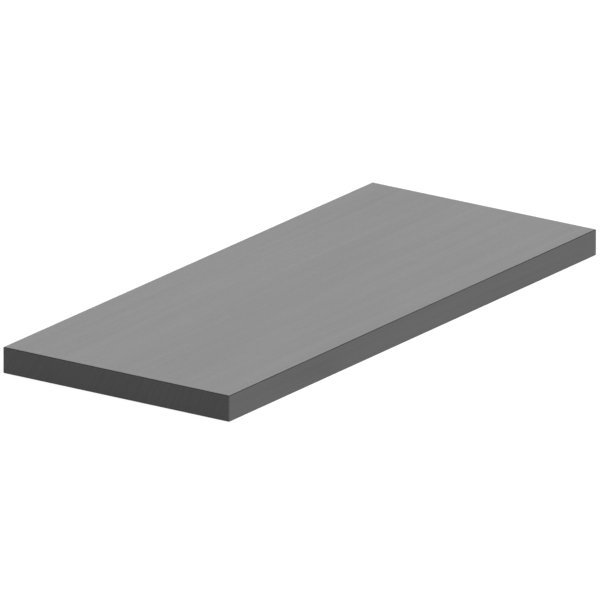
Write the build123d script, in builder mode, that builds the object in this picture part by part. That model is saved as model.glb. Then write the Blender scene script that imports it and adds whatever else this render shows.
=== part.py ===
"""Steel flat bar: one cut length of drawn rectangular section, with no holes.

The bar lies on one of its two wide faces. X runs along it, Y across it and Z up
through its thickness. The origin is the middle of the face that it lies on.
All sizes are in millimetres.
"""
import os

from build123d import *

# The section, as it leaves the die: square corners with their sharpness taken off.
bar_width = 80.0
bar_thickness = 8.0
long_arris_radius = 0.3

# The length it is sawn to, and the bevel that takes the burr off both sawn ends.
bar_length = 190.0
end_bevel = 0.2

os.makedirs("parts", exist_ok=True)

with BuildPart() as flat_bar:
    # The drawn section, run from one sawn end to the other.
    with BuildSketch(Plane.YZ.offset(-bar_length / 2)):
        with Locations((0, bar_thickness / 2)):
            RectangleRounded(bar_width, bar_thickness, long_arris_radius)
    extrude(amount=bar_length)

    # Side view: the bevels along the ends' top and bottom edges, the width of the bar.
    with BuildSketch(Plane.XZ) as side_view:
        with Locations((0, bar_thickness / 2)):
            Rectangle(bar_length, bar_thickness)
        chamfer(side_view.vertices(), length=end_bevel)
    extrude(amount=bar_width / 2, both=True, mode=Mode.INTERSECT)

    # Plan view: the bevels down the ends' upright edges, the thickness of the bar.
    with BuildSketch(Plane.XY) as plan_view:
        Rectangle(bar_length, bar_width)
        chamfer(plan_view.vertices(), length=end_bevel)
    extrude(amount=bar_thickness, mode=Mode.INTERSECT)

flat_bar.part.label = "flat_bar"
export_step(flat_bar.part, "parts/flat_bar.step")
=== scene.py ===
import math
import random

import bmesh
import bpy
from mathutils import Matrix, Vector


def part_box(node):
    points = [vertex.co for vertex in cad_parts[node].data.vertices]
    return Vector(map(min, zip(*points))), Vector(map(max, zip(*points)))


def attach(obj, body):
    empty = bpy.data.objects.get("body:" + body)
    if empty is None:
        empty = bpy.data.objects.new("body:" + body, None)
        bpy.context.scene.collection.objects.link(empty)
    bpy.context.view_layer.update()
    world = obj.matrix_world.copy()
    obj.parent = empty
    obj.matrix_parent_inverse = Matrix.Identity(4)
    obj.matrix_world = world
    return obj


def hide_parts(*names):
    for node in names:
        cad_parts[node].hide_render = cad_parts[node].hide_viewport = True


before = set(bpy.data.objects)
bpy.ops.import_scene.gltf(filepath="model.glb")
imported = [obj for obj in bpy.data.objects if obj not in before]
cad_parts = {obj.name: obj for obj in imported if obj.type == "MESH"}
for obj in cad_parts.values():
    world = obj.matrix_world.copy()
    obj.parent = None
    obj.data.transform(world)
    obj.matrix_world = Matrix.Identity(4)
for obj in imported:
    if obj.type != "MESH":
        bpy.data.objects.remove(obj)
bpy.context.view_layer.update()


# ---------------------------------------------------------------- The flat bar
# One cut length of bare steel flat bar, solid and undrilled. It was drawn through a die, which
# gave it flat faces and four long corners with a small radius. A circular saw cut it off square
# at both ends, and a file took the burr off round each cut.

# Its box, the radius of its long corners and the bevel round its ends, in metres.
bar_low, bar_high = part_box("flat_bar")
bar_middle = (bar_low + bar_high) / 2
bar_half = (bar_high - bar_low) / 2
corner_radius = 0.0003
filed_bevel = 0.0002

# How finely its faces are divided. The columns and rows carry the saw marks on its ends.
arcs_round_corner = 8
columns_across = 400
rows_up = 18
lengths_along = 12

# Places nearer than this are the same place.
same_place = 1e-7


def evenly(start, stop, steps):
    """The start and stop of a stretch, and the places that divide it into equal steps."""
    return [start + (stop - start) * i / steps for i in range(steps + 1)]


# The section as it leaves the die, anticlockwise as seen from +X, starting at the front's bottom.
corner_low = bar_low + Vector.Fill(3, corner_radius)
corner_high = bar_high - Vector.Fill(3, corner_radius)
quarter_turn = math.pi / 2
section = []
for centre_y, centre_z, quarters_before in (
        (corner_low.y, corner_low.z, 2), (corner_high.y, corner_low.z, 3),
        (corner_high.y, corner_high.z, 0), (corner_low.y, corner_high.z, 1)):
    start = quarters_before * quarter_turn
    for turn in evenly(start, start + quarter_turn, arcs_round_corner):
        section.append((centre_y + corner_radius * math.cos(turn),
                        centre_z + corner_radius * math.sin(turn)))

# Drawn: the section, run from one end to the other.
bar_shape = bmesh.new()
left_end = bar_shape.faces.new([bar_shape.verts.new((bar_low.x, y, z)) for y, z in section])
drawn = bmesh.ops.extrude_face_region(bar_shape, geom=[left_end], use_keep_orig=True)
far_verts = [part for part in drawn["geom"] if isinstance(part, bmesh.types.BMVert)]
bmesh.ops.translate(bar_shape, verts=far_verts, vec=(bar_high.x - bar_low.x, 0.0, 0.0))
bmesh.ops.recalc_face_normals(bar_shape, faces=bar_shape.faces)

# Filed: a narrow bevel all round both ends.
rims = [edge for edge in bar_shape.edges if edge.verts[0].co.x == edge.verts[1].co.x]
bmesh.ops.bevel(bar_shape, geom=rims, offset=filed_bevel, segments=1, affect="EDGES")


def divide(axis, places):
    """Divides the bar's faces by planes square to an axis, one at each place along it."""
    for place in places:
        everything = bar_shape.verts[:] + bar_shape.edges[:] + bar_shape.faces[:]
        bmesh.ops.bisect_plane(bar_shape, geom=everything, dist=same_place,
                               plane_co=axis * place, plane_no=axis)


left_bevel, right_bevel = bar_low.x + filed_bevel, bar_high.x - filed_bevel
divide(Vector((0, 0, 1)), evenly(corner_low.z, corner_high.z, rows_up))
divide(Vector((0, 1, 0)), evenly(corner_low.y, corner_high.y, columns_across))
divide(Vector((1, 0, 0)), evenly(left_bevel, right_bevel, lengths_along)[1:-1])

# Sawn: the blade came down from beyond the back of the bar, so each tooth's mark on an end is a
# shallow arc about the blade's centre. No two marks are as deep, and each end has its own.
blade_centre_y = 0.128
blade_centre_z = 0.070
saw_mark_pitch = 0.0011
saw_mark_depth = 0.000022
marks_on_an_end = 256
shallowest_mark = 0.35
saw_random = random.Random(8)


def marks_of_a_cut():
    """How deep each mark of one cut is, as a share of the deepest that it could be."""
    return [saw_random.uniform(shallowest_mark, 1.0) for _ in range(marks_on_an_end)]


def saw_mark_at(place, marks):
    """How deep the saw marked an end at this place on it."""
    pitches = math.hypot(place.y - blade_centre_y, place.z - blade_centre_z) / saw_mark_pitch
    mark = int(pitches)
    return saw_mark_depth * marks[mark] * math.sin(math.pi * (pitches - mark)) ** 2


left_marks = marks_of_a_cut()
right_marks = marks_of_a_cut()
for vert in bar_shape.verts:
    if abs(vert.co.x - bar_low.x) < same_place:
        vert.co.x += saw_mark_at(vert.co, left_marks)
    elif abs(vert.co.x - bar_high.x) < same_place:
        vert.co.x -= saw_mark_at(vert.co, right_marks)

# Everything shades smoothly except across the edges of the filed bevels. The ends and their
# bevels face along the bar and take the sawn finish, and the rest takes the drawn one.
DRAWN, SAWN = 0, 1
crease = math.radians(25)
least_facing_along = 0.5
for edge in bar_shape.edges:
    edge.smooth = edge.calc_face_angle() < crease
for face in bar_shape.faces:
    face.smooth = True
    face.material_index = SAWN if abs(face.normal.x) > least_facing_along else DRAWN


def put_in_order(parts, key):
    """Sorts the bar's points, edges or faces, so that every run makes the very same mesh."""
    for rank, part in enumerate(sorted(parts, key=key)):
        part.index = rank
    parts.sort()


put_in_order(bar_shape.verts, lambda vert: vert.co[:])
put_in_order(bar_shape.edges, lambda edge: sorted(vert.index for vert in edge.verts))
put_in_order(bar_shape.faces, lambda face: sorted(vert.index for vert in face.verts))

bar_mesh = bpy.data.meshes.new("steel_flat_bar")
bar_shape.to_mesh(bar_mesh)
bar_shape.free()
bar = bpy.data.objects.new("steel_flat_bar", bar_mesh)
bpy.context.scene.collection.objects.link(bar)


def add(tree, kind, inputs=None, **settings):
    """Adds a node. Each of its inputs is given a value, or the socket that feeds it."""
    node = tree.nodes.new(kind)
    for name, value in settings.items():
        setattr(node, name, value)
    for name, value in (inputs or {}).items():
        if isinstance(value, bpy.types.NodeSocket):
            tree.links.new(value, node.inputs[name])
        else:
            node.inputs[name].default_value = value
    return node


def empty_tree(owner):
    """The node tree of a material or of the room, with nothing in it yet."""
    owner.use_nodes = True
    owner.node_tree.nodes.clear()
    return owner.node_tree


def new_group(name, vectors_in, numbers_in, numbers_out):
    """An empty node group with its inputs and outputs named."""
    group = bpy.data.node_groups.new(name, "ShaderNodeTree")
    for socket_name in vectors_in:
        group.interface.new_socket(socket_name, in_out="INPUT", socket_type="NodeSocketVector")
    for socket_name in numbers_in:
        group.interface.new_socket(socket_name, in_out="INPUT", socket_type="NodeSocketFloat")
    for socket_name in numbers_out:
        group.interface.new_socket(socket_name, in_out="OUTPUT", socket_type="NodeSocketFloat")
    return group, add(group, "NodeGroupInput").outputs


# The steel's skin is a little paler here and darker there, in soft clouds longer than wide, and
# finely speckled all over.
clouds_per_m = 45.0
clouds_longer_than_wide = 2.5
cloud_detail = 3.0
specks_per_m = 1800.0
speck_detail = 2.0


def clouds_group():
    """The clouds and the specks, each from 0 to 1."""
    group, given = new_group(
        "steel_clouds", ["Place"], ["Clouds per m", "Specks per m"], ["Clouds", "Specks"])
    longer = add(group, "ShaderNodeVectorMath", {
        0: given["Place"], 1: (1 / clouds_longer_than_wide, 1.0, 1.0)}, operation="MULTIPLY")
    clouds = add(group, "ShaderNodeTexNoise", {
        "Vector": longer.outputs["Vector"], "Scale": given["Clouds per m"], "Detail": cloud_detail})
    specks = add(group, "ShaderNodeTexNoise", {
        "Vector": given["Place"], "Scale": given["Specks per m"], "Detail": speck_detail})
    add(group, "NodeGroupOutput", {
        "Clouds": clouds.outputs["Fac"], "Specks": specks.outputs["Fac"]})
    return group


# Every pattern goes from 0 to 1 about this middle.
pattern_middle = 0.5


def vary_group():
    """Lifts or lowers a value by a share of itself, as a pattern goes above or below its middle."""
    group, given = new_group("vary_by_share", [], ["Value", "Pattern", "Share"], ["Value"])
    off_middle = add(group, "ShaderNodeMath", {0: given["Pattern"], 1: pattern_middle},
                     operation="SUBTRACT")
    times = add(group, "ShaderNodeMath", {0: off_middle.outputs["Value"], 1: given["Share"], 2: 1.0},
                operation="MULTIPLY_ADD")
    varied_value = add(group, "ShaderNodeMath", {0: given["Value"], 1: times.outputs["Value"]},
                       operation="MULTIPLY")
    add(group, "NodeGroupOutput", {"Value": varied_value.outputs["Value"]})
    return group


# The corners round the two wide faces are painted dark, a line of painted shade along each edge that
# is darker than the faces on either side, and they are fully matt. How far in that reaches is
# uneven.
corner_painted_shade_grey = 0.05
corner_roughness = 1.0
corner_shaded_to = 0.00017
corner_plain_from = 0.00027
corner_unevenness = 0.00006


# The mask for the painted shade along the corners, which also makes them fully matt.
def corner_shade_group():
    """1 on the corners round the two wide faces, and 0 off them."""
    group, given = new_group(
        "corner_shade_and_dullness", ["Place"], ["Dull to", "Plain from", "Pattern", "Unevenness"], ["Shade and dull"])
    off_middle = add(group, "ShaderNodeVectorMath", {0: given["Place"], 1: bar_middle},
                     operation="SUBTRACT")
    either_side = add(group, "ShaderNodeVectorMath", {0: off_middle.outputs["Vector"]},
                      operation="ABSOLUTE")
    inside = add(group, "ShaderNodeVectorMath", {0: bar_half, 1: either_side.outputs["Vector"]},
                 operation="SUBTRACT")
    depth = add(group, "ShaderNodeSeparateXYZ", {"Vector": inside.outputs["Vector"]}).outputs
    from_outline = add(group, "ShaderNodeMath", {0: depth["X"], 1: depth["Y"]}, operation="MINIMUM")
    from_corner = add(group, "ShaderNodeMath", {0: from_outline.outputs["Value"], 1: depth["Z"]},
                      operation="MAXIMUM")
    off_pattern = add(group, "ShaderNodeMath", {0: given["Pattern"], 1: pattern_middle},
                      operation="SUBTRACT")
    uneven = add(group, "ShaderNodeMath", {
        0: off_pattern.outputs["Value"], 1: given["Unevenness"], 2: from_corner.outputs["Value"]},
        operation="MULTIPLY_ADD")
    shade_and_dull = add(group, "ShaderNodeMapRange", {
        "Value": uneven.outputs["Value"], "From Min": given["Dull to"],
        "From Max": given["Plain from"], "To Min": 1.0, "To Max": 0.0},
        interpolation_type="SMOOTHSTEP")
    add(group, "NodeGroupOutput", {"Shade and dull": shade_and_dull.outputs["Result"]})
    return group


steel_clouds = clouds_group()
vary_by_share = vary_group()
corner_shade_and_dullness = corner_shade_group()

# The steel under all of that: mid grey and semi-matt.
steel_grey = 0.21
steel_roughness = 0.66
steel_metallic = 0.1
steel_specular = 0.3


def new_steel(name):
    """A steel material with nothing in it yet but the place on the bar and what varies there."""
    material = bpy.data.materials.new(name)
    tree = empty_tree(material)
    place = add(tree, "ShaderNodeTexCoord").outputs["Object"]
    skin = add(tree, "ShaderNodeGroup", {
        "Place": place, "Clouds per m": clouds_per_m, "Specks per m": specks_per_m},
        node_tree=steel_clouds).outputs
    # Where the corners get their painted shade.
    shade_and_dull = add(tree, "ShaderNodeGroup", {
        "Place": place, "Dull to": corner_shaded_to, "Plain from": corner_plain_from,
        "Pattern": skin["Specks"], "Unevenness": corner_unevenness},
        node_tree=corner_shade_and_dullness).outputs["Shade and dull"]
    return material, tree, place, skin["Clouds"], skin["Specks"], shade_and_dull


def varied(tree, value, shares):
    """A value that each pattern in turn lifts and lowers by its share of the value."""
    for pattern, share in shares:
        node = add(tree, "ShaderNodeGroup", {"Pattern": pattern, "Share": share, "Value": value},
                   node_tree=vary_by_share)
        value = node.outputs["Value"]
    return value


def finish_steel(tree, shade_and_dull, grey, roughness, height, relief):
    """The steel's surface, from its grey, roughness and fine relief, with painted shade on its
    corners.
    """
    # Painted shade: along the corners the grey turns dark, and the roughness goes to full.
    shaded_grey = add(tree, "ShaderNodeMix", {"Factor": shade_and_dull, "A": grey, "B": corner_painted_shade_grey},
                      data_type="FLOAT").outputs["Result"]
    dulled_roughness = add(tree, "ShaderNodeMix", {
        "Factor": shade_and_dull, "A": roughness, "B": corner_roughness}, data_type="FLOAT").outputs["Result"]
    bump = add(tree, "ShaderNodeBump", {"Height": height, "Distance": relief})
    steel = add(tree, "ShaderNodeBsdfPrincipled", {
        "Base Color": shaded_grey, "Roughness": dulled_roughness, "Metallic": steel_metallic,
        "Specular IOR Level": steel_specular, "Normal": bump.outputs["Normal"]})
    add(tree, "ShaderNodeOutputMaterial", {"Surface": steel.outputs["BSDF"]})


# The drawn faces: fine lines that the die left along the bar, and broader bands of them.
draw_lines_per_m = 3500.0
draw_bands_per_m = 320.0
draw_line_runs_per_m = 9.0
draw_line_detail = 2.0
draw_line_breakup = 0.6
draw_line_relief = 0.000003


def lines_along(tree, place, per_metre):
    """Noise drawn out along X into lines."""
    drawn_out = add(tree, "ShaderNodeVectorMath", {
        0: place, 1: (draw_line_runs_per_m, per_metre, per_metre)}, operation="MULTIPLY")
    noise = add(tree, "ShaderNodeTexNoise", {
        "Vector": drawn_out.outputs["Vector"], "Scale": 1.0, "Detail": draw_line_detail,
        "Roughness": draw_line_breakup})
    return noise.outputs["Fac"]


def drawn_steel():
    """The finish of the two wide faces and the two long sides."""
    material, tree, place, clouds, specks, shade_and_dull = new_steel("drawn_steel")
    fine = lines_along(tree, place, draw_lines_per_m)
    bands = lines_along(tree, place, draw_bands_per_m)
    grey_shares = (fine, 0.50), (bands, 0.30), (clouds, 0.25), (specks, 0.25)
    roughness_shares = (fine, 0.40), (bands, 0.30), (clouds, 0.30)
    grey = varied(tree, steel_grey, grey_shares)
    roughness = varied(tree, steel_roughness, roughness_shares)
    finish_steel(tree, shade_and_dull, grey, roughness, fine, draw_line_relief)
    return material


# The sawn ends: arcs about the blade's centre, fine scores and broader passes of the blade.
scores_per_m = 4200.0
passes_per_m = 600.0
score_detail = 2.0
score_relief = 0.000004
across_and_up = (0.0, 1.0, 1.0)


def arcs_about_blade(tree, place, per_metre):
    """Noise that changes only with the distance from the blade's centre, and from end to end."""
    from_blade = add(tree, "ShaderNodeVectorMath", {
        0: place, 1: (0.0, blade_centre_y, blade_centre_z)}, operation="SUBTRACT")
    on_the_end = add(tree, "ShaderNodeVectorMath", {
        0: from_blade.outputs["Vector"], 1: across_and_up}, operation="MULTIPLY")
    reach = add(tree, "ShaderNodeVectorMath", {0: on_the_end.outputs["Vector"]}, operation="LENGTH")
    along = add(tree, "ShaderNodeSeparateXYZ", {"Vector": place}).outputs["X"]
    run = add(tree, "ShaderNodeMath", {0: reach.outputs["Value"], 1: along}, operation="ADD")
    noise = add(tree, "ShaderNodeTexNoise", {
        "W": run.outputs["Value"], "Scale": per_metre, "Detail": score_detail},
        noise_dimensions="1D")
    return noise.outputs["Fac"]


def sawn_steel():
    """The finish of the two ends and the bevels round them."""
    material, tree, place, clouds, specks, shade_and_dull = new_steel("sawn_steel")
    scores = arcs_about_blade(tree, place, scores_per_m)
    passes = arcs_about_blade(tree, place, passes_per_m)
    grey_shares = (scores, 0.40), (passes, 0.25), (clouds, 0.15), (specks, 0.25)
    roughness_shares = (scores, 0.25), (passes, 0.15)
    grey = varied(tree, steel_grey, grey_shares)
    roughness = varied(tree, steel_roughness, roughness_shares)
    finish_steel(tree, shade_and_dull, grey, roughness, scores, score_relief)
    return material


bar_mesh.materials.append(drawn_steel())
bar_mesh.materials.append(sawn_steel())

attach(bar, "root")
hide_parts("flat_bar")


# ---------------------------------------------------------------- The floor
# A plain white studio floor, matt and flat, a hair below the bar that lies on it. It shows white
# with the bar's soft shadow, and throws only a little light back up at the bar.

floor_half = 4.0
floor_drop = 0.00003
floor_own_grey = 0.15
floor_shown_white = 0.90
plain_white = (1.0, 1.0, 1.0, 1.0)

floor_corners = [(floor_half * x, floor_half * y, -floor_drop)
                 for x, y in ((-1, -1), (1, -1), (1, 1), (-1, 1))]
floor_mesh = bpy.data.meshes.new("studio_floor")
floor_mesh.from_pydata(floor_corners, [], [(0, 1, 2, 3)])
floor = bpy.data.objects.new("studio_floor", floor_mesh)
bpy.context.scene.collection.objects.link(floor)


def seen_directly(tree):
    """1 where the surroundings are seen, straight, in a gloss or through glass, and 0 elsewhere."""
    path = add(tree, "ShaderNodeLightPath").outputs
    either = add(tree, "ShaderNodeMath", {0: path["Is Camera Ray"], 1: path["Is Glossy Ray"]},
                 operation="MAXIMUM")
    any_of = add(tree, "ShaderNodeMath", {
        0: either.outputs["Value"], 1: path["Is Transmission Ray"]}, operation="MAXIMUM")
    return any_of.outputs["Value"]


def floor_paint():
    """Matt paint that looks white where it is seen, and lights the bar as a darker one would."""
    material = bpy.data.materials.new("floor_paint")
    tree = empty_tree(material)
    matt = add(tree, "ShaderNodeBsdfDiffuse", {
        "Color": (floor_own_grey, floor_own_grey, floor_own_grey, 1.0)})
    shown = add(tree, "ShaderNodeMath", {0: seen_directly(tree), 1: floor_shown_white},
                operation="MULTIPLY")
    glow = add(tree, "ShaderNodeEmission", {
        "Color": plain_white, "Strength": shown.outputs["Value"]})
    both = add(tree, "ShaderNodeAddShader", {0: matt.outputs["BSDF"], 1: glow.outputs["Emission"]})
    add(tree, "ShaderNodeOutputMaterial", {"Surface": both.outputs["Shader"]})
    return material


floor_mesh.materials.append(floor_paint())


# ---------------------------------------------------------------- The light
# One wide soft lamp overhead, leaning towards the bar's front long side, a weaker one low behind
# for the sides that it doesn't reach, and a dim even fill from the room. The room shows white
# behind the floor and in a gloss.

softbox_towards = Vector((0.06, -0.44, 1.0))
softbox_strength = 3.0
softbox_spread = 50.0
back_fill_towards = Vector((0.5, 1.0, 0.35))
back_fill_strength = 1.0
back_fill_spread = 40.0
room_fill = 0.05
room_shown_white = 1.0


def soft_lamp(name, towards, strength, spread):
    """A lamp far off in the given direction, as many degrees wide as spread says."""
    lamp_data = bpy.data.lights.new(name, "SUN")
    lamp_data.energy = strength
    lamp_data.angle = math.radians(spread)
    lamp = bpy.data.objects.new(name, lamp_data)
    bpy.context.scene.collection.objects.link(lamp)
    lamp.rotation_mode = "QUATERNION"
    lamp.rotation_quaternion = towards.to_track_quat("Z", "Y")


def room_light():
    """An even fill from all round, and white where the room itself is seen."""
    room = bpy.data.worlds.new("room")
    tree = empty_tree(room)
    strength = add(tree, "ShaderNodeMapRange", {
        "Value": seen_directly(tree), "To Min": room_fill, "To Max": room_shown_white})
    background = add(tree, "ShaderNodeBackground", {
        "Color": plain_white, "Strength": strength.outputs["Result"]})
    add(tree, "ShaderNodeOutputWorld", {"Surface": background.outputs["Background"]})
    return room


soft_lamp("overhead_softbox", softbox_towards, softbox_strength, softbox_spread)
soft_lamp("back_fill", back_fill_towards, back_fill_strength, back_fill_spread)
bpy.context.scene.world = room_light()


# ---------------------------------------------------------------- The camera
# A very long lens a good way off, so that the bar's far edges stay parallel to its near ones. It
# looks down over the bar's front left corner, and the bar fills the picture from side to side.

camera_azimuth = math.radians(-55.444)
camera_elevation = math.radians(18.078)
camera_distance = 7.8049
camera_lens = 1600.0
aim_left_of_middle = 0.00049
aim_above_middle = 0.00020

camera_data = bpy.data.cameras.new("camera")
camera_data.lens = camera_lens
camera = bpy.data.objects.new("camera", camera_data)
bpy.context.scene.collection.objects.link(camera)
bpy.context.scene.camera = camera

level = math.cos(camera_elevation)
back = Vector((math.sin(camera_azimuth) * level, -math.cos(camera_azimuth) * level,
               math.sin(camera_elevation)))
right = Vector((math.cos(camera_azimuth), math.sin(camera_azimuth), 0.0))
up = back.cross(right)
aim = bar_middle - right * aim_left_of_middle + up * aim_above_middle
camera.location = aim + back * camera_distance
camera.rotation_mode = "QUATERNION"
camera.rotation_quaternion = back.to_track_quat("Z", "Y")

bpy.context.scene.view_settings.view_transform = "Standard"
